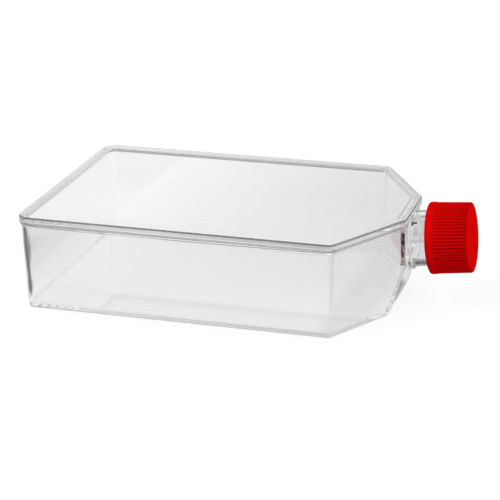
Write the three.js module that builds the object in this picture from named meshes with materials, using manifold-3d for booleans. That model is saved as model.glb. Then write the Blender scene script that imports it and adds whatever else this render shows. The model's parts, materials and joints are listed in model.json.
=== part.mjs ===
// Cell culture flask, 175 cm2 class, lying on its growth surface.
// Millimetres, +Z up. Origin: middle of the underside's bounding rectangle, neck toward +X.

import * as THREE from 'three';
import { mergeVertices } from 'three/addons/utils/BufferGeometryUtils.js';
import Module from 'manifold-3d';

const wasm = await Module();
wasm.setup();

// Plan of the body, measured on the outside of its rim
const BODY_LENGTH = 173.1;
const BODY_WIDTH = 119.5;
const SHOULDER_LENGTH = 24.3; // how far the slanted shoulders run along X
const FRONT_MARGIN = 3.5; // short front edge beyond the neck's root, each side
const BACK_CORNER = 6.5;
const SHOULDER_CORNER = 5;
const FRONT_CORNER = 4.5;
const SHARPEST_CORNER = 0.4;

// Heights
const BODY_HEIGHT = 45;
const RIM_HEIGHT = 3.3; // edge of the top plate
const FLANGE_HEIGHT = 1.8; // slanted lip of the tub under that edge

// Tub
const WALL = 1.6;
const FLOOR = 2;
const RIM_OVERHANG = 1; // rim beyond the wall just under the flange
const DRAFT_INSET = 1.5; // the wall leans in by this much more at the floor
const OUTER_BOTTOM_ROUND = 1.2;
const INNER_BOTTOM_ROUND = 1.2;
const RAMP_DEPTH = 5.8; // floor's front edge behind the front wall
const RAMP_BELOW_AXIS = 10.1; // ramp's top, below the neck's axis
const RAMP_CURVE = 1.1; // 1 would be a straight ramp
const FRONT_WALL = 2.2; // front wall and ramp, measured along X

// Top plate
const PANEL = 2;
const PANEL_RECESS = 0.7; // panel lies this far below the rim's top
const RIM_BAND = 4.2; // width of the raised rim
const RIM_ROUND = 0.8;

// Neck, canted upward from the front wall
const NECK_TILT = THREE.MathUtils.degToRad(6);
const NECK_OUTER = 13;
const NECK_WALL = 2.4;
const BORE_COVER = 1; // front wall left above the bore, up to the weld line
const NECK_LENGTH = 24.1; // front wall to mouth, along the axis
const NECK_FLARE = 1.2; // fillet where the neck leaves the front wall
const MOUTH_ROUND = 0.5;

// Screw cap and its seal
const THREAD_ROOM = 1.5; // between the neck and the cap's wall
const CAP_WALL = 2.2; // at the skirt band
const SKIRT_STEP = 0.2; // skirt band stands this far proud of the ribs
const CAP_TAPER = 0.3;
const CAP_ROOF = 2.3;
const SKIRT_BAND = 3.1; // smooth band at the open end
const RIBS = 64;
const RIB_DEPTH = 0.6;
const CAP_CHAMFER = 0.5;
const EXPOSED_NECK = 9.1; // front wall to the cap's open end
const SEAL_THICKNESS = 1.2;
const SEAL_PLAY = 0.7; // between the seal's edge and the cap's wall
const SEAT_GAP = 0.3;

// Steps along the curves
const CORNER_STEPS = 6;
const ROUND_STEPS = 3;
const NECK_STEPS = 72;
const RAMP_STEPS = 6;

const CUT_PAST = 1; // cutting solids run this far past the faces they open

// Sizes and places that follow from those above
const WELD_Z = BODY_HEIGHT - RIM_HEIGHT; // top plate sits on the tub here
const FLANGE_Z = WELD_Z - FLANGE_HEIGHT;
const FRONT_X = BODY_LENGTH - RIM_OVERHANG; // face of the front wall
const FRONT_WIDTH = 2 * (NECK_OUTER + NECK_FLARE + FRONT_MARGIN);
const BORE = NECK_OUTER - NECK_WALL;
const NECK_HEIGHT = WELD_Z - BORE_COVER - BORE; // axis, at the front wall
const RAMP_HEIGHT = NECK_HEIGHT - RAMP_BELOW_AXIS;
const CAP_ROOM = NECK_OUTER + THREAD_ROOM; // inside radius of the cap
const CAP_RADIUS = CAP_ROOM + CAP_WALL;
const MOUTH_TO_SKIRT = NECK_LENGTH - EXPOSED_NECK;
const CAP_DEPTH = MOUTH_TO_SKIRT + SEAT_GAP + SEAL_THICKNESS + SEAT_GAP;
const CAP_LENGTH = CAP_DEPTH + CAP_ROOF;
const NECK_AXIS = new THREE.Vector3(Math.cos(NECK_TILT), 0, Math.sin(NECK_TILT));
const NECK_ROOT = new THREE.Vector3(FRONT_X, 0, NECK_HEIGHT);
const CAP_START = NECK_ROOT.clone().addScaledVector(NECK_AXIS, EXPOSED_NECK);
const OVERALL_LENGTH = CAP_START.x + CAP_LENGTH * NECK_AXIS.x
  + (CAP_RADIUS - SKIRT_STEP - CAP_TAPER - CAP_CHAMFER) * NECK_AXIS.z;

// ---------------------------------------------------------------- solids

function manifoldOf(geometry) {
  geometry.deleteAttribute('normal');
  geometry.deleteAttribute('uv');
  const merged = mergeVertices(geometry);
  return new wasm.Manifold(new wasm.Mesh({
    numProp: 3,
    vertProperties: new Float32Array(merged.attributes.position.array),
    triVerts: new Uint32Array(merged.index.array),
  }));
}

function geometryOf(manifold) {
  const mesh = manifold.getMesh();
  const geometry = new THREE.BufferGeometry();
  geometry.setAttribute('position', new THREE.BufferAttribute(mesh.vertProperties, 3));
  geometry.setIndex(new THREE.BufferAttribute(mesh.triVerts, 1));
  geometry.computeVertexNormals();
  return geometry;
}

// Solid through a stack of rings, bottom ring first, each counter-clockwise seen from above.
// Every ring has the same number of points and sees its whole edge from its middle.
function loft(rings) {
  const count = rings[0].length;
  const middle = (ring) => ring
    .reduce((sum, point) => sum.add(point), new THREE.Vector3())
    .divideScalar(count);
  const points = [...rings.flat(), middle(rings[0]), middle(rings.at(-1))];
  const bottom = points.length - 2;
  const top = points.length - 1;
  const lastRing = (rings.length - 1) * count;
  const faces = [];
  for (let i = 0; i < count; i += 1) {
    const next = (i + 1) % count;
    faces.push(bottom, next, i);
    faces.push(top, lastRing + i, lastRing + next);
    for (let ring = 0; ring < lastRing; ring += count) {
      faces.push(ring + i, ring + next, ring + count + next);
      faces.push(ring + i, ring + count + next, ring + count + i);
    }
  }
  const geometry = new THREE.BufferGeometry().setFromPoints(points);
  geometry.setIndex(faces);
  return geometry;
}

// ---------------------------------------------------------------- plan of the body

// Point where the shoulder line, moved inward by inset, has the given x or y
const SHOULDER_RISE = (BODY_WIDTH - FRONT_WIDTH) / 2;
const SHOULDER_SLANT = Math.hypot(SHOULDER_RISE, SHOULDER_LENGTH);
const shoulderY = (x, inset) => FRONT_WIDTH / 2
  + ((BODY_LENGTH - x) * SHOULDER_RISE - inset * SHOULDER_SLANT) / SHOULDER_LENGTH;
const shoulderX = (y, inset) => BODY_LENGTH
  - ((y - FRONT_WIDTH / 2) * SHOULDER_LENGTH + inset * SHOULDER_SLANT) / SHOULDER_RISE;

// Six-cornered outline with round corners, moved inward by inset, its front edge at frontX
function planRing(inset, frontX, z) {
  const side = BODY_WIDTH / 2 - inset;
  const half = [
    { x: inset, y: side, radius: BACK_CORNER },
    { x: shoulderX(side, inset), y: side, radius: SHOULDER_CORNER },
    { x: frontX, y: shoulderY(frontX, inset), radius: FRONT_CORNER },
  ];
  const mirrored = half.map((corner) => ({ ...corner, y: -corner.y }));
  const corners = [...mirrored, ...half.toReversed()];
  const ring = [];
  corners.forEach((corner, i) => {
    const before = corners.at(i - 1);
    const after = corners[(i + 1) % corners.length];
    const radius = Math.max(corner.radius - inset, SHARPEST_CORNER);
    ring.push(...roundCorner(before, corner, after, radius, z));
  });
  return ring;
}

function roundCorner(before, corner, after, radius, z) {
  const from = new THREE.Vector2(corner.x - before.x, corner.y - before.y);
  const to = new THREE.Vector2(after.x - corner.x, after.y - corner.y);
  const turn = THREE.MathUtils.euclideanModulo(to.angle() - from.angle(), 2 * Math.PI);
  from.normalize();
  const start = new THREE.Vector2(corner.x, corner.y)
    .addScaledVector(from, -radius * Math.tan(turn / 2));
  const centre = start.clone().add(new THREE.Vector2(-from.y, from.x).multiplyScalar(radius));
  const points = [];
  for (let step = 0; step <= CORNER_STEPS; step += 1) {
    const angle = (step / CORNER_STEPS) * turn;
    const point = start.clone().rotateAround(centre, angle);
    points.push(new THREE.Vector3(point.x, point.y, z));
  }
  return points;
}

// ---------------------------------------------------------------- tub and neck

const wallInset = (z) => RIM_OVERHANG + DRAFT_INSET * (1 - z / FLANGE_Z);

// Front wall: upright above, curving back to the floor as a ramp
function frontFace(z) {
  const below = Math.max(1 - z / RAMP_HEIGHT, 0);
  return FRONT_X - RAMP_DEPTH * below ** RAMP_CURVE;
}

// Rings from the floor up to topZ: a round bottom edge, then the ramp's height in steps
function wallRings(floorZ, topZ, round, wall, frontWall) {
  const rings = [];
  for (let step = 0; step <= ROUND_STEPS; step += 1) {
    const angle = (step / ROUND_STEPS) * Math.PI / 2;
    const z = floorZ + round * (1 - Math.cos(angle));
    const tuck = round * (1 - Math.sin(angle));
    rings.push(planRing(wallInset(z) + wall + tuck, frontFace(z) - frontWall - tuck, z));
  }
  for (let step = 1; step <= RAMP_STEPS; step += 1) {
    const z = THREE.MathUtils.lerp(floorZ + round, RAMP_HEIGHT, step / RAMP_STEPS);
    rings.push(planRing(wallInset(z) + wall, frontFace(z) - frontWall, z));
  }
  rings.push(planRing(wallInset(topZ) + wall, FRONT_X - frontWall, topZ));
  return rings;
}

function tubOutside() {
  const rings = wallRings(0, FLANGE_Z, OUTER_BOTTOM_ROUND, 0, 0);
  rings.push(planRing(0, BODY_LENGTH, WELD_Z));
  return manifoldOf(loft(rings));
}

function tubInside() {
  const rings = wallRings(FLOOR, FLANGE_Z, INNER_BOTTOM_ROUND, WALL, FRONT_WALL);
  const wall = RIM_OVERHANG + WALL;
  rings.push(planRing(wall, FRONT_X - FRONT_WALL, WELD_Z + CUT_PAST));
  return manifoldOf(loft(rings));
}

// Turns a profile of (radius, distance from the front wall) about the neck's axis
function turnedOnNeck(profile) {
  const points = profile.map(([radius, along]) => new THREE.Vector2(radius, along));
  const geometry = new THREE.LatheGeometry(points, NECK_STEPS);
  geometry.rotateZ(-Math.PI / 2);
  geometry.rotateY(-NECK_TILT);
  geometry.translate(NECK_ROOT.x, NECK_ROOT.y, NECK_ROOT.z);
  return manifoldOf(geometry);
}

function neckOutside() {
  const inWall = -FRONT_WALL / 2;
  const profile = [[0, inWall], [NECK_OUTER + NECK_FLARE, inWall]];
  for (let step = 0; step <= ROUND_STEPS; step += 1) {
    const angle = (step / ROUND_STEPS) * Math.PI / 2;
    profile.push([
      NECK_OUTER + NECK_FLARE * (1 - Math.sin(angle)),
      RIM_OVERHANG + NECK_FLARE * (1 - Math.cos(angle)),
    ]);
  }
  profile.push([NECK_OUTER, NECK_LENGTH - MOUTH_ROUND]);
  profile.push([NECK_OUTER - MOUTH_ROUND, NECK_LENGTH], [0, NECK_LENGTH]);
  return turnedOnNeck(profile);
}

// Reaches back through the front wall, at its steepest slant to the axis
function neckBore() {
  const back = -FRONT_WALL - BORE * Math.tan(NECK_TILT) - CUT_PAST;
  const front = NECK_LENGTH + CUT_PAST;
  return turnedOnNeck([[0, back], [BORE, back], [BORE, front], [0, front]]);
}

// The rim of the top plate takes this room, so the neck starts in front of it
function rimRoom() {
  const box = new THREE.BoxGeometry(BODY_LENGTH, BODY_WIDTH, BODY_HEIGHT);
  box.translate(BODY_LENGTH / 2, 0, WELD_Z + BODY_HEIGHT / 2);
  return manifoldOf(box);
}

function flaskBody() {
  const neck = neckOutside().subtract(rimRoom());
  return geometryOf(tubOutside().add(neck).subtract(tubInside()).subtract(neckBore()));
}

// ---------------------------------------------------------------- top plate

function topPlate() {
  const ring = (inset, z) => planRing(inset, BODY_LENGTH - inset, z);
  const outside = [ring(0, WELD_Z)];
  for (let step = 0; step <= ROUND_STEPS; step += 1) {
    const angle = (step / ROUND_STEPS) * Math.PI / 2;
    const inset = RIM_ROUND * (1 - Math.cos(angle));
    outside.push(ring(inset, BODY_HEIGHT - RIM_ROUND * (1 - Math.sin(angle))));
  }
  const panelTop = BODY_HEIGHT - PANEL_RECESS;
  const recess = [
    ring(RIM_BAND + PANEL_RECESS, panelTop),
    ring(RIM_BAND, BODY_HEIGHT),
    ring(RIM_BAND, BODY_HEIGHT + CUT_PAST),
  ];
  const seat = RIM_OVERHANG + WALL;
  const under = [ring(seat, WELD_Z - CUT_PAST), ring(seat, panelTop - PANEL)];
  return geometryOf(manifoldOf(loft(outside))
    .subtract(manifoldOf(loft(recess)))
    .subtract(manifoldOf(loft(under))));
}

// ---------------------------------------------------------------- cap and seal, built along +Z

const POINTS_PER_RIB = 4;

// Round ring, or a ribbed one whose ribs stand RIB_DEPTH proud of their roots
function capRing(radius, z, ribbed) {
  const ring = [];
  for (let i = 0; i < RIBS * POINTS_PER_RIB; i += 1) {
    const angle = (i / (RIBS * POINTS_PER_RIB)) * 2 * Math.PI;
    const inRoot = ribbed && i % POINTS_PER_RIB < POINTS_PER_RIB / 2;
    const r = inRoot ? radius - RIB_DEPTH : radius;
    ring.push(new THREE.Vector3(r * Math.cos(angle), r * Math.sin(angle), z));
  }
  return ring;
}

function screwCap() {
  const crestAt = (z) => CAP_RADIUS - SKIRT_STEP - CAP_TAPER * (z / CAP_LENGTH);
  const ribStart = SKIRT_BAND + RIB_DEPTH;
  const ribEnd = CAP_LENGTH - CAP_CHAMFER;
  const outside = [
    capRing(CAP_RADIUS, 0, false),
    capRing(CAP_RADIUS, SKIRT_BAND, false),
    capRing(crestAt(ribStart), ribStart, true),
    capRing(crestAt(ribEnd), ribEnd, true),
    capRing(crestAt(CAP_LENGTH) - CAP_CHAMFER, CAP_LENGTH, true),
  ];
  const inside = new THREE.CylinderGeometry(CAP_ROOM, CAP_ROOM, CAP_DEPTH + CUT_PAST, NECK_STEPS);
  inside.rotateX(Math.PI / 2);
  inside.translate(0, 0, (CAP_DEPTH - CUT_PAST) / 2);
  return geometryOf(manifoldOf(loft(outside)).subtract(manifoldOf(inside)));
}

function capSeal() {
  const radius = CAP_ROOM - SEAL_PLAY;
  const geometry = new THREE.CylinderGeometry(radius, radius, SEAL_THICKNESS, NECK_STEPS);
  geometry.rotateX(Math.PI / 2);
  geometry.translate(0, 0, MOUTH_TO_SKIRT + SEAT_GAP + SEAL_THICKNESS / 2);
  return geometry;
}

// ---------------------------------------------------------------- the flask

function named(name, geometry, material) {
  const mesh = new THREE.Mesh(geometry, new THREE.MeshStandardMaterial(material));
  mesh.name = name;
  return mesh;
}

const CLEAR = { color: 0xe8ecec, roughness: 0.05, metalness: 0, transparent: true, opacity: 0.35 };
const RED = { color: 0xc80d0d, roughness: 0.35, metalness: 0 };
const WHITE = { color: 0xf2f2ee, roughness: 0.6, metalness: 0 };

const closure = new THREE.Group();
closure.position.copy(CAP_START);
closure.rotation.y = Math.PI / 2 - NECK_TILT;
closure.add(named('cap_seal', capSeal(), WHITE));
closure.add(named('screw_cap', screwCap(), RED));

const flask = new THREE.Group();
flask.add(named('flask_body', flaskBody(), CLEAR));
flask.add(named('top_plate', topPlate(), CLEAR));
flask.add(closure);
flask.position.x = -OVERALL_LENGTH / 2;

export default flask;
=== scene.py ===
import json
import math

import bmesh
import bpy
from mathutils import Matrix, Vector


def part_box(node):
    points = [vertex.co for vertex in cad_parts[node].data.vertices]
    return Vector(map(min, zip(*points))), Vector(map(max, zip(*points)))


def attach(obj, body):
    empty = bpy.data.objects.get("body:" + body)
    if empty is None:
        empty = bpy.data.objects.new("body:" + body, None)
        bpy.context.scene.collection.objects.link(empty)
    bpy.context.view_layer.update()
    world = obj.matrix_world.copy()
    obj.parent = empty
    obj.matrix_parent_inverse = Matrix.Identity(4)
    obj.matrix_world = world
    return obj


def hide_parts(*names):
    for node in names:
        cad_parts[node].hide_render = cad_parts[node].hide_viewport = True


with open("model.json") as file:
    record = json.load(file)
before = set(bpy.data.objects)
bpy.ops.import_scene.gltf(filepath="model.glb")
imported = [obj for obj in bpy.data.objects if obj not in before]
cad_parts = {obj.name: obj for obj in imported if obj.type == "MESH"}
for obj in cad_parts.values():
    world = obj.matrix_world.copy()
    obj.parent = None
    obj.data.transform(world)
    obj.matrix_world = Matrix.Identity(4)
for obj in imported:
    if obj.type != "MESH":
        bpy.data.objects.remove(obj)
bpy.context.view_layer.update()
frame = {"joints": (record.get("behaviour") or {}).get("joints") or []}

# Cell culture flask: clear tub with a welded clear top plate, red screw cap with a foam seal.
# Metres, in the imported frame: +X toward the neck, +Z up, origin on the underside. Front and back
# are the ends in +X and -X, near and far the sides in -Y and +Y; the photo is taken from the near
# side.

MM = 0.001

# ---------------------------------------------------------------- sizes

# From the frame
plate_low, plate_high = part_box("top_plate")
cap_turn = next(joint for joint in frame["joints"] if joint["name"] == "cap_turn")
NECK_ROOT = Vector(cap_turn["pos_m"])
NECK_AXIS = Vector(cap_turn["axis"]).normalized()
NECK_TILT = math.asin(NECK_AXIS.z)
BACK_X = plate_low.x
FRONT_X = plate_high.x
HALF_WIDTH = plate_high.y
BODY_TOP = plate_high.z
WELD_Z = plate_low.z

# Plan of the body, corner radii at the rim
SHOULDER_LENGTH = 24.3 * MM
FRONT_HALF = 17.7 * MM
BACK_CORNER = 6.5 * MM
SHOULDER_CORNER = 5 * MM
FRONT_CORNER = 4.5 * MM
SHARPEST_CORNER = 0.4 * MM
SHOULDER_RISE = HALF_WIDTH - FRONT_HALF
SHOULDER_SLANT = math.hypot(SHOULDER_RISE, SHOULDER_LENGTH)

# Tub
FLANGE_HEIGHT = 1.8 * MM
FLANGE_Z = WELD_Z - FLANGE_HEIGHT
FLANGE_ROUND = 0.4 * MM
WELD_EDGE_ROUND = 0.2 * MM
WALL = 1.6 * MM
FRONT_WALL = 2.2 * MM
FLOOR = 2 * MM
RIM_OVERHANG = 1 * MM
DRAFT_INSET = 1.5 * MM
BOTTOM_ROUND = 1.2 * MM
RAMP_DEPTH = 5.8 * MM
RAMP_HEIGHT = NECK_ROOT.z - 10.1 * MM
RAMP_CURVE = 1.1

# Top plate
PANEL = 2 * MM
PANEL_RECESS = 0.7 * MM
PANEL_MARGIN = 1 * MM
RIM_BAND = 4.2 * MM
RIM_ROUND = 0.8 * MM
RECESS_ROUND = 0.25 * MM
WELD_SINK = 0.02 * MM

# Neck; threads run along it from a start, between two counts of turns
NECK_RADIUS = 13 * MM
BORE_RADIUS = 10.6 * MM
NECK_LENGTH = 24.1 * MM
NECK_FLARE = 1.2 * MM
MOUTH_ROUND = 0.5 * MM
THREAD_LEAD = 5 * MM
THREAD_HEIGHT = 1.1 * MM
THREAD_HALF = 0.95 * MM
THREAD_FLANK = 0.5
THREAD_FADE = 0.1
THREAD_START = 12 * MM
NECK_THREAD = (THREAD_START, 0, 1.6)
CAP_THREAD = (9.5 * MM, 0.4, 2.4)

# Screw cap and seal, distances along the axis from the cap's open edge
EXPOSED_NECK = 9.1 * MM
CAP_ROOM = 14.5 * MM
CAP_RADIUS = 16.7 * MM
CAP_TAPER = 0.3 * MM
CAP_DEPTH = 16.8 * MM
CAP_LENGTH = 19.1 * MM
CAP_CORNER = 0.6 * MM
CAP_CHAMFER = 0.5 * MM
CAP_MIDDLE = 0.2 * MM
SKIRT_BAND = 3.1 * MM
SKIRT_STEP = 0.2 * MM
RIBS = 64
RIB_DEPTH = 0.6 * MM
SEAL_RADIUS = 13.8 * MM
SEAL_START = 15.3 * MM
SEAL_THICKNESS = 1.2 * MM
SEAL_ROUND = 0.15 * MM

# Eased edges of the cap: millimetres outward, millimetres along, share of a groove's depth
MOUTH_EDGE = ((0.2, 0.15, 0.0), (0.5, 0.0, 0.0))
OUTER_EDGE = ((-0.6, 0.0, 0.0), (-0.2, 0.15, 0.0), (0.0, 0.6, 0.0))
SKIRT_EDGE = ((0.0, -0.5, 0.0), (-0.1, -0.15, 0.0))
GROOVE_START = ((0.0, 0.1, 0.1), (0.0, 0.5, 0.9), (0.0, 0.7, 1.0))
CHAMFER_EDGE = ((-0.1, 0.27, 1.0), (-0.3, 0.43, 1.0))
END_EDGE = ((-0.5, 0.0, 0.9), (-1.4, 0.0, 0.0))

# Reach of cutting tools past what they cut
CUT_PAST = 1 * MM
ROOM_ABOVE = 10 * MM

# Fineness of the meshes
CORNER_STEPS = 24
ROUND_STEPS = 28
RAMP_STEPS = 48
EASE_STEPS = 4
MOUTH_STEPS = 4
TAPER_STEPS = 8
THREAD_STEP = THREAD_LEAD / 16
NECK_STEPS = 144
CAP_STEPS = RIBS * 10
SHARP_ANGLE = 35
CAP_SHARP_ANGLE = 50

# ---------------------------------------------------------------- studio values

# Camera: aim, angles and reach that give the photograph's view
AIM = Vector((-6.8, -0.57, 16.99)) * MM
AZIMUTH = 16.637
ELEVATION = 20.085
ROLL = -0.507
DISTANCE = 859.5 * MM
LENS = 130.02
CAMERA_REACH = 50

LAMP_DISTANCE = 1.6
LAMP_SIZE = 0.8
BOUNCES = 40

# World by the sine of the elevation: dark along the horizon, a bright backdrop, a dimmer gap
# over it, then a soft box overhead. Only seen rays meet this; the others meet one even level.
SKY = ((0.15, 0.0), (0.19, 1.0), (0.44, 0.95), (0.51, 0.4), (0.6, 0.4), (0.7, 1.0))
SKY_STRENGTH = 1.1
EVEN_SKY = 0.55

# Floor: what the camera sees, what is seen through or in the object, how it bounces light, and
# how much of the object's shadow it shows
FLOOR_SEEN = 0.85
FLOOR_SEEN_THROUGH = 0.76
FLOOR_BOUNCE = 0.75
FLOOR_SHADOW = 0.2
FLOOR_REACH = 8
FLOOR_GAP = 0.2 * MM

# Painted shades on the floor that is seen through or in the object: depth, reach in X, reach in Y.
# A reach of two places fades in from the first to the second; one of three fades in around
# its first place, from the outer to the inner distance.
FLOOR_SHADES = (
    (0.4, (-0.1, 0.06), (-0.03, 0.13)),  # deeper toward the neck and the far side
    (0.03, (-0.2, -0.19), (0.03, 0.1)),  # beyond the far wall
    (-0.07, (-0.09, -0.11), (0.04, 0.08)),  # paler beyond the far back corner
    (0.09, (-0.1, -0.107), (-0.03, -0.01)),  # beyond the back wall
    (0.11, (0.05, 0.014, 0.006), (0.07, 0.04)),  # soft strip beside the near shoulder
    (0.65, (0.073, 0.009, 0.004), (0.007, 0.016, 0.009)),  # painted shadow under the neck's root
    (0.7, (-0.125, -0.14), (0.04, 0.01)),  # painted dark patch a little beyond the back wall
    (0.76, (-0.106, -0.115), (-0.02, -0.036)),  # painted dark patch beyond the near back corner
)
# A painted shade of the same kind for reflected rays alone, beside the near shoulder
MIRRORED_SHADE = (0.76, (0.125, 0.065, 0.045), (-0.09, 0.07, 0.045))

# ---------------------------------------------------------------- material values

# Clear plastic, by how level a face is: 0 for an upright one, 1 for a level one
CLEAR_IOR = 1.59
CLEAR_LEVEL = 0.97
DEPTH_LEVEL = 0.6
DEPTH_DENSITY = 5.0
# Dark line along the weld: distances where it is full and gone, and how far level faces escape it
WELD_LEVEL = 0.2
WELD_LINE = (0.1 * MM, 0.35 * MM)
WELD_FACES = (0.3, 0.6)
WELD_ESCAPE = 0.85
# Painted shade on the rim's outer edge, deepest where it faces the near side
RIM_SHADE_LEVEL = 0.3
NEAR_RIM_SHADE_LEVEL = 0.08
NEAR_SHADE_FACES = (0.0, -0.3)
RIM_SHADE_FACES = ((0.02, 0.0), (0.15, 1.0), (0.93, 1.0), (0.99, 0.0))
RIM_SHADE_HEIGHTS = (BODY_TOP - RIM_ROUND - 1 * MM, BODY_TOP - RIM_ROUND)
# Light that is still inside the plastic after this many bounces leaves it
TRAPPED_DEPTH = 12.0

# Red plastic: two near tones, and a painted shade in the grooves, by the distance from the axis
RED_TONES = ((0.3, (0.68, 0.0018, 0.0015, 1)), (0.7, (0.76, 0.0028, 0.0022, 1)))
RED_GROOVE_SHADE = (0.34, 0.0012, 0.001, 1)
GROOVE_SHADE_RADII = (15 * MM, 17 * MM)
GROOVE_SHADE_SHARES = ((0.1, 0.0), (0.25, 1.0), (0.5, 0.5), (0.72, 0.0))

FOAM_TONES = ((0.1, (0.86, 0.86, 0.84, 1)), (0.8, (0.75, 0.75, 0.73, 1)))


# ---------------------------------------------------------------- nodes

def grey(level):
    return (level, level, level, 1)


class Nodes:
    """A node tree that is filled by short calls. Values are plain or sockets of other nodes."""

    def __init__(self, tree):
        self.tree = tree
        tree.nodes.clear()

    def add(self, kind, inputs=None, **settings):
        node = self.tree.nodes.new(kind)
        for name, value in settings.items():
            setattr(node, name, value)
        for name, value in (inputs or {}).items():
            self.put(value, node.inputs[name])
        return node

    def put(self, value, socket):
        if isinstance(value, bpy.types.NodeSocket):
            self.tree.links.new(value, socket)
        else:
            socket.default_value = value

    def math(self, operation, a, b=0.0):
        return self.add("ShaderNodeMath", {0: a, 1: b}, operation=operation).outputs[0]

    def product(self, first, *others):
        for other in others:
            first = self.math("MULTIPLY", first, other)
        return first

    def absolute(self, value):
        return self.math("ABSOLUTE", value)

    def distance(self, a, b):
        return self.absolute(self.math("SUBTRACT", a, b))

    def share(self, value, start, end):
        """0 at start, 1 at end, limited to that range."""
        ranges = {"Value": value, "From Min": start, "From Max": end}
        return self.add("ShaderNodeMapRange", ranges).outputs[0]

    def mix_value(self, share, a, b):
        return self.math("ADD", a, self.math("MULTIPLY", share, b - a))

    def mix_colour(self, share, a, b):
        node = self.add("ShaderNodeMix", {"Factor": share}, data_type="RGBA")
        for socket, value in ((node.inputs[6], a), (node.inputs[7], b)):
            self.put(value, socket)
        return node.outputs[2]

    def ramp(self, value, stops):
        ramp = self.add("ShaderNodeValToRGB", {"Fac": value})
        ramp.color_ramp.interpolation = "EASE"
        elements = ramp.color_ramp.elements
        while len(elements) < len(stops):
            elements.new(0.5)
        for element, (place, level) in zip(elements, stops):
            element.position = place
            element.color = level if isinstance(level, tuple) else grey(level)
        return ramp.outputs["Color"]

    def parts(self, vector):
        return self.add("ShaderNodeSeparateXYZ", {0: vector}).outputs

    def vector(self, operation, a, b=(0.0, 0.0, 0.0)):
        return self.add("ShaderNodeVectorMath", {0: a, 1: b}, operation=operation).outputs

    def noise(self, place, scale, detail):
        inputs = {"Vector": place, "Scale": scale, "Detail": detail}
        return self.add("ShaderNodeTexNoise", inputs).outputs["Fac"]

    def spread(self, value, low, high):
        inputs = {"Value": value, "To Min": low, "To Max": high}
        return self.add("ShaderNodeMapRange", inputs).outputs[0]

    def bump(self, height, strength, distance):
        inputs = {"Height": height, "Strength": strength, "Distance": distance}
        return self.add("ShaderNodeBump", inputs).outputs[0]

    def seen_ray(self):
        """1 for rays that show the surroundings: from the camera, a reflection or a clear piece."""
        path = self.add("ShaderNodeLightPath").outputs
        clear = self.math("MAXIMUM", path["Is Glossy Ray"], path["Is Transmission Ray"])
        return self.math("MAXIMUM", path["Is Camera Ray"], clear)


def new_material(name):
    material = bpy.data.materials.new(name)
    material.use_nodes = True
    return material, Nodes(material.node_tree)


# ---------------------------------------------------------------- camera, light, stage

def toward(azimuth, elevation):
    """Unit vector toward a camera or lamp, by degrees round from -Y and up."""
    a = math.radians(azimuth)
    e = math.radians(elevation)
    return Vector((math.sin(a) * math.cos(e), -math.cos(a) * math.cos(e), math.sin(e)))


def add_camera():
    back = toward(AZIMUTH, ELEVATION)
    right = toward(AZIMUTH + 90, 0)
    upright = Matrix((right, back.cross(right), back)).transposed()
    turned = upright @ Matrix.Rotation(math.radians(ROLL), 3, "Z")
    camera = bpy.data.objects.new("camera", bpy.data.cameras.new("camera"))
    camera.matrix_world = Matrix.Translation(AIM + back * DISTANCE) @ turned.to_4x4()
    camera.data.lens = LENS
    camera.data.clip_end = CAMERA_REACH
    bpy.context.collection.objects.link(camera)
    bpy.context.scene.camera = camera


def add_lamp(name, azimuth, elevation, energy):
    """Soft disk of light that clear plastic neither mirrors nor shows."""
    back = toward(azimuth, elevation)
    light = bpy.data.lights.new(name, "AREA")
    light.shape = "DISK"
    light.size = LAMP_SIZE
    light.energy = energy
    lamp = bpy.data.objects.new(name, light)
    lamp.location = back * LAMP_DISTANCE
    lamp.rotation_mode = "QUATERNION"
    lamp.rotation_quaternion = back.to_track_quat("Z", "Y")
    lamp.visible_glossy = False
    lamp.visible_transmission = False
    bpy.context.collection.objects.link(lamp)


def set_world():
    world = bpy.data.worlds.new("studio")
    bpy.context.scene.world = world
    world.use_nodes = True
    n = Nodes(world.node_tree)
    seen = n.seen_ray()
    direction = n.add("ShaderNodeTexCoord").outputs["Generated"]
    sky = n.ramp(n.parts(direction)["Z"], SKY)
    background = n.add("ShaderNodeBackground", {
        "Color": n.mix_colour(seen, grey(EVEN_SKY), sky),
        "Strength": n.mix_value(seen, 1.0, SKY_STRENGTH),
    })
    n.add("ShaderNodeOutputWorld", {"Surface": background.outputs[0]})


def soft_reach(n, value, reach):
    """1 past a soft border, or around a place with a soft border."""
    if len(reach) == 2:
        return n.share(value, *reach)
    middle, outer, inner = reach
    return n.share(n.distance(value, middle), outer, inner)


def floor_shade(n, place, depth, along, across):
    return n.product(soft_reach(n, place["X"], along), soft_reach(n, place["Y"], across), depth)


def floor_material():
    """White floor that keeps the shadow; rays that come by way of the object see painted shades on
    it.
    """
    material, n = new_material("stage_white")
    path = n.add("ShaderNodeLightPath").outputs
    place = n.parts(n.add("ShaderNodeNewGeometry").outputs["Position"])
    through = FLOOR_SEEN_THROUGH
    for shade in FLOOR_SHADES:
        through = n.math("SUBTRACT", through, floor_shade(n, place, *shade))
    mirrored = n.product(floor_shade(n, place, *MIRRORED_SHADE), path["Is Reflection Ray"])
    through = n.math("MAXIMUM", n.math("SUBTRACT", through, mirrored), 0.0)
    level = n.mix_colour(path["Is Camera Ray"], through, grey(FLOOR_SEEN))
    glow = n.add("ShaderNodeEmission", {"Color": level})
    shadow = n.add("ShaderNodeBsdfDiffuse", {"Color": grey(FLOOR_SHADOW)})
    seen = n.add("ShaderNodeAddShader", {0: glow.outputs[0], 1: shadow.outputs[0]})
    bounce = n.add("ShaderNodeBsdfDiffuse", {"Color": grey(FLOOR_BOUNCE)})
    surface = n.add("ShaderNodeMixShader", {
        0: n.seen_ray(),
        1: bounce.outputs[0],
        2: seen.outputs[0],
    })
    n.add("ShaderNodeOutputMaterial", {"Surface": surface.outputs[0]})
    return material


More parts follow.
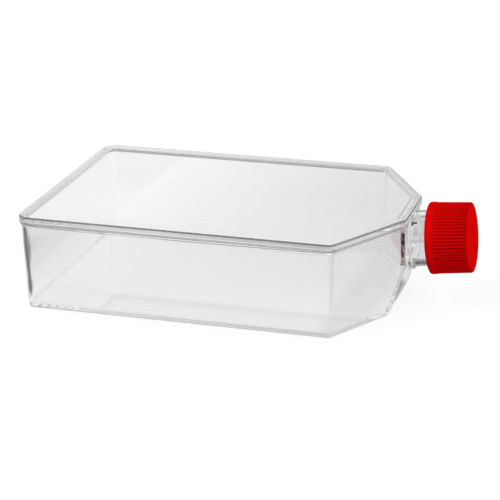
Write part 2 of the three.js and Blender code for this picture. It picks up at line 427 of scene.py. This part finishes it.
def add_floor():
    mesh = bpy.data.meshes.new("floor")
    signs = ((-1, -1), (1, -1), (1, 1), (-1, 1))
    corners = [(FLOOR_REACH * along, FLOOR_REACH * across, -FLOOR_GAP) for along, across in signs]
    mesh.from_pydata(corners, [], [(0, 1, 2, 3)])
    mesh.materials.append(floor_material())
    floor = bpy.data.objects.new("floor", mesh)
    bpy.context.collection.objects.link(floor)


# ---------------------------------------------------------------- materials

def clear_tint(n, place):
    """Base colour of the clear plastic, darker along the weld, with painted shade on the rim's
    outer edge.

    Products of two parts of the normal are used, since they stay as they are where light
    meets the surface from inside and the normal is turned round.
    """
    height = n.parts(place)["Z"]
    normal = n.add("ShaderNodeNewGeometry").outputs["Normal"]
    facing = n.parts(normal)
    level_face = n.absolute(facing["Z"])

    off_weld = n.share(n.distance(height, WELD_Z), *WELD_LINE)
    escaped = n.product(n.share(level_face, *WELD_FACES), WELD_ESCAPE)
    clean = n.math("MAXIMUM", off_weld, escaped)
    wall_tint = n.mix_colour(clean, grey(WELD_LEVEL), grey(CLEAR_LEVEL))

    # Painted shade on the rim's outer edge: lighter elsewhere, deepest where the edge faces the
    # near side
    near = n.share(n.product(facing["Y"], facing["Z"]), *NEAR_SHADE_FACES)
    rim_shade_tint = n.mix_colour(near, grey(RIM_SHADE_LEVEL), grey(NEAR_RIM_SHADE_LEVEL))

    # Where the painted rim shade lies: the rim's outer round, on faces turned outward
    from_middle = n.vector("MULTIPLY", place, (1.0, 1.0, 0.0))["Vector"]
    away = n.vector("DOT_PRODUCT", from_middle, normal)["Value"]
    outward = n.math("GREATER_THAN", n.product(away, facing["Z"]), 0.0)
    edge = n.product(n.ramp(level_face, RIM_SHADE_FACES), n.share(height, *RIM_SHADE_HEIGHTS), outward)
    return n.mix_colour(edge, wall_tint, rim_shade_tint)


def clear_plastic():
    material, n = new_material("clear_polystyrene")
    place = n.add("ShaderNodeTexCoord").outputs["Object"]
    flow = n.noise(place, scale=28.0, detail=0.0)
    haze = n.noise(place, scale=420.0, detail=3.0)
    shader = n.add("ShaderNodeBsdfPrincipled", {
        "Base Color": clear_tint(n, place),
        "Roughness": n.spread(haze, 0.0, 0.03),
        "IOR": CLEAR_IOR,
        "Transmission Weight": 1.0,
        "Normal": n.bump(flow, strength=0.01, distance=0.4 * MM),
    })
    # Shadows and light that is trapped in the plastic pass straight through it
    straight = n.add("ShaderNodeBsdfTransparent", {"Color": grey(CLEAR_LEVEL)})
    path = n.add("ShaderNodeLightPath").outputs
    trapped = n.math("GREATER_THAN", path["Ray Depth"], TRAPPED_DEPTH)
    surface = n.add("ShaderNodeMixShader", {
        0: n.math("MAXIMUM", path["Is Shadow Ray"], trapped),
        1: shader.outputs[0],
        2: straight.outputs[0],
    })
    volume = n.add("ShaderNodeVolumeAbsorption", {
        "Color": grey(DEPTH_LEVEL),
        "Density": DEPTH_DENSITY,
    })
    n.add("ShaderNodeOutputMaterial", {"Surface": surface.outputs[0], "Volume": volume.outputs[0]})
    return material


def cap_red():
    material, n = new_material("red_polyethylene")
    place = n.add("ShaderNodeTexCoord").outputs["Object"]
    cloud = n.noise(place, scale=90.0, detail=3.0)
    grain = n.noise(place, scale=2600.0, detail=2.0)
    off_root = n.vector("SUBTRACT", place, NECK_ROOT)["Vector"]
    across = n.vector("CROSS_PRODUCT", off_root, NECK_AXIS)["Vector"]
    radius = n.vector("LENGTH", across)["Value"]
    # Painted shade in the grooves between the ribs, found by the distance from the neck's axis
    groove_shade = n.ramp(n.share(radius, *GROOVE_SHADE_RADII), GROOVE_SHADE_SHARES)
    shader = n.add("ShaderNodeBsdfPrincipled", {
        "Base Color": n.mix_colour(groove_shade, n.ramp(cloud, RED_TONES), RED_GROOVE_SHADE),
        "Roughness": n.spread(grain, 0.42, 0.56),
        "Normal": n.bump(grain, strength=0.25, distance=0.04 * MM),
        "Subsurface Weight": 0.08,
        "Subsurface Radius": (0.002, 0.0004, 0.0003),
        "Subsurface Scale": 1.0,
        "Specular IOR Level": 0.0,
    })
    n.add("ShaderNodeOutputMaterial", {"Surface": shader.outputs[0]})
    return material


def seal_white():
    material, n = new_material("white_foam")
    place = n.add("ShaderNodeTexCoord").outputs["Object"]
    cells = n.add("ShaderNodeTexVoronoi", {"Vector": place, "Scale": 3000.0}).outputs["Distance"]
    shader = n.add("ShaderNodeBsdfPrincipled", {
        "Base Color": n.ramp(cells, FOAM_TONES),
        "Roughness": 0.7,
        "Normal": n.bump(cells, strength=0.3, distance=0.05 * MM),
    })
    n.add("ShaderNodeOutputMaterial", {"Surface": shader.outputs[0]})
    return material


# ---------------------------------------------------------------- meshes

def mesh_of_rings(rings):
    """Skin through rings of one count, with a flat face over each end."""
    count = len(rings[0])
    points = [point for ring in rings for point in ring]
    faces = []
    for low in range(0, len(points) - count, count):
        for i in range(count):
            j = (i + 1) % count
            faces.append((low + i, low + j, low + count + j, low + count + i))
    faces.append(tuple(reversed(range(count))))
    faces.append(tuple(range(len(points) - count, len(points))))
    mesh = bpy.data.meshes.new("skin")
    mesh.from_pydata(points, [], faces)
    face_outward(mesh)
    return mesh


def face_outward(mesh):
    work = bmesh.new()
    work.from_mesh(mesh)
    bmesh.ops.recalc_face_normals(work, faces=work.faces)
    if work.calc_volume(signed=True) < 0:
        bmesh.ops.reverse_faces(work, faces=work.faces)
    work.to_mesh(mesh)
    work.free()


def new_object(name, mesh):
    piece = bpy.data.objects.new(name, mesh)
    bpy.context.collection.objects.link(piece)
    return piece


def settle(piece):
    """Puts the outcome of the modifiers into the mesh."""
    graph = bpy.context.evaluated_depsgraph_get()
    mesh = bpy.data.meshes.new_from_object(piece.evaluated_get(graph))
    piece.modifiers.clear()
    piece.data = mesh


def combine(piece, tool, operation):
    """Joins or cuts a piece with a tool, which goes away."""
    cut = piece.modifiers.new("combine", "BOOLEAN")
    cut.solver = "EXACT"
    cut.operation = operation
    cut.object = tool
    settle(piece)
    bpy.data.objects.remove(tool)


def finish_piece(piece, material, body, nodes, sharp=SHARP_ANGLE):
    mesh = piece.data
    mesh.materials.clear()
    mesh.materials.append(material)
    mesh.shade_smooth()
    mesh.set_sharp_from_angle(angle=math.radians(sharp))
    weighted = piece.modifiers.new("weighted_normals", "WEIGHTED_NORMAL")
    weighted.keep_sharp = True
    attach(piece, body)
    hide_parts(*nodes)


def quarter(size, steps):
    """Steps of a quarter round: one distance grows from 0 to the size, the other shrinks to 0."""
    for step in range(steps + 1):
        angle = math.pi / 2 * step / steps
        yield size * (1 - math.cos(angle)), size * (1 - math.sin(angle))


def rounded(points, sizes):
    """A line of points with its corners eased over the given sizes."""
    eased = [points[0]]
    for before, point, after, size in zip(points, points[1:], points[2:], sizes):
        if size == 0:
            eased.append(point)
            continue
        start = point + (before - point).normalized() * size
        end = point + (after - point).normalized() * size
        for step in range(EASE_STEPS + 1):
            t = step / EASE_STEPS
            eased.append(start * (1 - t) ** 2 + point * 2 * t * (1 - t) + end * t ** 2)
    eased.append(points[-1])
    return eased


# ---------------------------------------------------------------- plan of the body

def shoulder_y(x, inset):
    return FRONT_HALF + ((FRONT_X - x) * SHOULDER_RISE - inset * SHOULDER_SLANT) / SHOULDER_LENGTH


def shoulder_x(y, inset):
    return FRONT_X - ((y - FRONT_HALF) * SHOULDER_LENGTH + inset * SHOULDER_SLANT) / SHOULDER_RISE


def round_corner(before, corner, after, radius):
    come = (corner - before).normalized()
    leave = (after - corner).normalized()
    turned = math.atan2(come.cross(leave), come.dot(leave))
    start = corner - come * radius * math.tan(turned / 2)
    centre = start + Vector((-come.y, come.x)) * radius
    return [
        centre + Matrix.Rotation(turned * step / CORNER_STEPS, 2) @ (start - centre)
        for step in range(CORNER_STEPS + 1)
    ]


def plan_ring(inset, setback, z):
    """Six-cornered outline, moved inward by inset, its front edge set back from the rim's."""
    side = HALF_WIDTH - inset
    front = FRONT_X - setback
    half = [
        (Vector((BACK_X + inset, side)), BACK_CORNER),
        (Vector((shoulder_x(side, inset), side)), SHOULDER_CORNER),
        (Vector((front, shoulder_y(front, inset))), FRONT_CORNER),
    ]
    mirrored = [(Vector((corner.x, -corner.y)), radius) for corner, radius in half]
    corners = mirrored + half[::-1]
    ring = []
    for i, (corner, radius) in enumerate(corners):
        before = corners[i - 1][0]
        after = corners[(i + 1) % len(corners)][0]
        ring += round_corner(before, corner, after, max(radius - inset, SHARPEST_CORNER))
    return [Vector((point.x, point.y, z)) for point in ring]


def plan_mesh(line):
    """Skin from a line of (inset, setback, height)."""
    return mesh_of_rings([plan_ring(*point) for point in line])


# ---------------------------------------------------------------- shapes about the neck's axis

def on_neck(radius, along, angle):
    """Point in the frame at that distance from the neck's axis and from the front wall."""
    side = Matrix.Rotation(math.pi / 2 - NECK_TILT, 3, "Y")
    around = Vector((radius * math.cos(angle), radius * math.sin(angle), along))
    return NECK_ROOT + side @ around


def turned_on_neck(profile):
    angles = [math.tau * i / NECK_STEPS for i in range(NECK_STEPS)]
    return mesh_of_rings([[on_neck(r, along, a) for a in angles] for r, along in profile])


def thread_height(along, angle, start, first, last):
    """Height of a one-start right-hand thread over its root, from 0 to 1, between two turns."""
    best = 0.0
    for whole in range(int(last) + 1):
        wound = whole + angle / math.tau
        if not first <= wound <= last:
            continue
        off = abs(along - (start + THREAD_LEAD * wound)) / THREAD_HALF
        flank = min(1.0, max(0.0, (1 - off) / THREAD_FLANK))
        fade = min(1.0, min(wound - first, last - wound) / THREAD_FADE)
        best = max(best, fade * flank)
    return best


def threaded_ring(radius, along, steps, height, thread):
    """Ring about the neck's axis where a thread stands out by a height, inward if negative."""
    ring = []
    for i in range(steps):
        angle = math.tau * i / steps
        ridge = thread_height(along, angle, *thread)
        ring.append(on_neck(radius + height * ridge, along, angle))
    return ring


# ---------------------------------------------------------------- tub and plate

def wall_inset(z):
    return RIM_OVERHANG + DRAFT_INSET * (1 - z / FLANGE_Z)


def ramp_setback(z):
    return RIM_OVERHANG + RAMP_DEPTH * max(1 - z / RAMP_HEIGHT, 0) ** RAMP_CURVE


def wall_profile(floor_z, top_z, wall, front_wall):
    """(inset, setback, z) from the floor up: a round bottom edge, the ramp, the upright wall."""
    line = []
    for rise, tuck in quarter(BOTTOM_ROUND, ROUND_STEPS):
        z = floor_z + rise
        line.append(Vector((wall_inset(z) + wall + tuck, ramp_setback(z) + front_wall + tuck, z)))
    ramp_foot = floor_z + BOTTOM_ROUND
    for step in range(1, RAMP_STEPS + 1):
        z = ramp_foot + (RAMP_HEIGHT - ramp_foot) * step / RAMP_STEPS
        line.append(Vector((wall_inset(z) + wall, ramp_setback(z) + front_wall, z)))
    line.append(Vector((wall_inset(top_z) + wall, RIM_OVERHANG + front_wall, top_z)))
    return line


def tub_line():
    """Up the inside, over the flange and down the outside."""
    inside = wall_profile(FLOOR, FLANGE_Z, WALL, FRONT_WALL)
    outside = wall_profile(0, FLANGE_Z - FLANGE_ROUND, 0, 0)
    seat = Vector((RIM_OVERHANG + WALL, RIM_OVERHANG + FRONT_WALL, WELD_Z))
    edge = Vector((0, 0, WELD_Z))
    under = Vector((RIM_OVERHANG, RIM_OVERHANG, FLANGE_Z))
    flange = rounded(
        [inside[-1], seat, edge, under, outside[-1]],
        [0, WELD_EDGE_ROUND, FLANGE_ROUND],
    )
    return inside[:-1] + flange + outside[-2::-1]


def neck_rings():
    """Solid neck from inside the front wall over the flare and the thread to its mouth."""
    profile = [(NECK_RADIUS + NECK_FLARE, -FRONT_WALL / 2)]
    for rise, flare in quarter(NECK_FLARE, ROUND_STEPS):
        profile.append((NECK_RADIUS + flare, RIM_OVERHANG + rise))
    straight_end = NECK_LENGTH - MOUTH_ROUND
    along = THREAD_START - 2 * THREAD_HALF
    while along < straight_end:
        profile.append((NECK_RADIUS, along))
        along += THREAD_STEP
    for tuck, left in quarter(MOUTH_ROUND, MOUTH_STEPS):
        profile.append((NECK_RADIUS - tuck, NECK_LENGTH - left))
    return [
        threaded_ring(radius, place, NECK_STEPS, THREAD_HEIGHT, NECK_THREAD)
        for radius, place in profile
    ]


def box_mesh(low, high):
    corners = [(low.x, low.y), (high.x, low.y), (high.x, high.y), (low.x, high.y)]
    return mesh_of_rings([[Vector((x, y, z)) for x, y in corners] for z in (low.z, high.z)])


def make_tub(material):
    tub = new_object("flask_body_skin", plan_mesh(tub_line()))
    neck = new_object("neck", mesh_of_rings(neck_rings()))
    rim_room = box_mesh(
        Vector((BACK_X, -HALF_WIDTH, WELD_Z)),
        Vector((FRONT_X, HALF_WIDTH, BODY_TOP + ROOM_ABOVE)),
    )
    combine(neck, new_object("rim_room", rim_room), "DIFFERENCE")
    combine(tub, neck, "UNION")
    bore_start = -FRONT_WALL - BORE_RADIUS * math.tan(NECK_TILT) - CUT_PAST
    bore = turned_on_neck([(BORE_RADIUS, bore_start), (BORE_RADIUS, NECK_LENGTH + CUT_PAST)])
    combine(tub, new_object("bore", bore), "DIFFERENCE")
    finish_piece(tub, material, "flask", ["flask_body"])


def even(inset, z):
    """Point of a plan line that lies as far in at the front as at the sides."""
    return Vector((inset, inset, z))


def plate_line():
    """From under the panel down to the weld, round the rim, and over it to the panel's top."""
    seat = RIM_OVERHANG + WALL
    panel_top = BODY_TOP - PANEL_RECESS
    panel_under = panel_top - PANEL
    weld = WELD_Z - WELD_SINK
    rim = [even(inset, BODY_TOP - drop) for inset, drop in quarter(RIM_ROUND, ROUND_STEPS)]
    under = rounded(
        [
            even(seat + PANEL_MARGIN, panel_under),
            even(seat, panel_under),
            even(seat, weld),
            even(0, weld),
            rim[0],
        ],
        [RECESS_ROUND, 0, 0],
    )
    recess = RIM_BAND + PANEL_RECESS
    over = rounded(
        [
            rim[-1],
            even(RIM_BAND, BODY_TOP),
            even(recess, panel_top),
            even(recess + PANEL_MARGIN, panel_top),
        ],
        [RECESS_ROUND, RECESS_ROUND],
    )
    return under[:-1] + rim + over[1:]


def make_plate(material):
    plate = new_object("top_plate_skin", plan_mesh(plate_line()))
    finish_piece(plate, material, "flask", ["top_plate"])


# ---------------------------------------------------------------- cap and seal

def cap_ring(radius, along, depth=0.0):
    """Ring of the cap with a groove of some depth between each two ribs."""
    ring = []
    for i in range(CAP_STEPS):
        angle = math.tau * i / CAP_STEPS
        groove = 0.5 + 0.5 * math.cos(RIBS * angle)
        ring.append(on_neck(radius - depth * groove, EXPOSED_NECK + along, angle))
    return ring


def cap_inside():
    """Rings from the roof's middle down the threaded wall to the open edge."""
    wall_top = CAP_DEPTH - CAP_CORNER
    wall = wall_top - CAP_CORNER
    rings = [
        cap_ring(CAP_MIDDLE, CAP_DEPTH),
        cap_ring(CAP_ROOM - CAP_CORNER, CAP_DEPTH),
        cap_ring(CAP_ROOM, wall_top),
    ]
    steps = round(wall / THREAD_STEP)
    for step in range(1, steps + 1):
        place = EXPOSED_NECK + wall_top - wall * step / steps
        rings.append(threaded_ring(CAP_ROOM, place, CAP_STEPS, -THREAD_HEIGHT, CAP_THREAD))
    return rings


def edge_points(radius, along, offsets):
    """Points for cap_ring beside a radius and a place along the axis."""
    return [
        (radius + out * MM, along + up * MM, RIB_DEPTH * groove)
        for out, up, groove in offsets
    ]


def cap_outside():
    """Rings from the open edge over the skirt band and the ribs to the end face's middle."""
    crest = CAP_RADIUS - SKIRT_STEP
    crest_end = crest - CAP_TAPER
    rib_start = SKIRT_BAND + RIB_DEPTH
    rib_end = CAP_LENGTH - CAP_CHAMFER
    line = edge_points(CAP_ROOM, 0, MOUTH_EDGE)
    line += edge_points(CAP_RADIUS, 0, OUTER_EDGE)
    line += edge_points(CAP_RADIUS, SKIRT_BAND, SKIRT_EDGE)
    line += edge_points(crest, SKIRT_BAND, GROOVE_START)
    for step in range(1, TAPER_STEPS + 1):
        share = step / TAPER_STEPS
        place = rib_start + (rib_end - rib_start) * share
        line.append((crest - CAP_TAPER * share, place, RIB_DEPTH))
    line += edge_points(crest_end, rib_end, CHAMFER_EDGE)
    line += edge_points(crest_end, CAP_LENGTH, END_EDGE)
    line.append((CAP_MIDDLE, CAP_LENGTH, 0.0))
    return [cap_ring(*point) for point in line]


def make_cap(material):
    cap = new_object("screw_cap_skin", mesh_of_rings(cap_inside() + cap_outside()))
    finish_piece(cap, material, "cap", ["screw_cap"], sharp=CAP_SHARP_ANGLE)


def make_seal(material):
    low = EXPOSED_NECK + SEAL_START
    high = low + SEAL_THICKNESS
    profile = [
        (SEAL_RADIUS - SEAL_ROUND, low),
        (SEAL_RADIUS, low + SEAL_ROUND),
        (SEAL_RADIUS, high - SEAL_ROUND),
        (SEAL_RADIUS - SEAL_ROUND, high),
    ]
    seal = new_object("cap_seal_skin", turned_on_neck(profile))
    finish_piece(seal, material, "seal", ["cap_seal"])


# ---------------------------------------------------------------- scene

bpy.context.scene.view_settings.view_transform = "Standard"
cycles = bpy.context.scene.cycles
cycles.caustics_reflective = False
cycles.caustics_refractive = False
cycles.max_bounces = BOUNCES
cycles.transmission_bounces = BOUNCES
cycles.glossy_bounces = BOUNCES
add_camera()
set_world()
add_floor()
add_lamp("key", azimuth=-45, elevation=50, energy=9)
add_lamp("fill", azimuth=75, elevation=30, energy=7)

clear = clear_plastic()
make_tub(clear)
make_plate(clear)
make_cap(cap_red())
make_seal(seal_white())
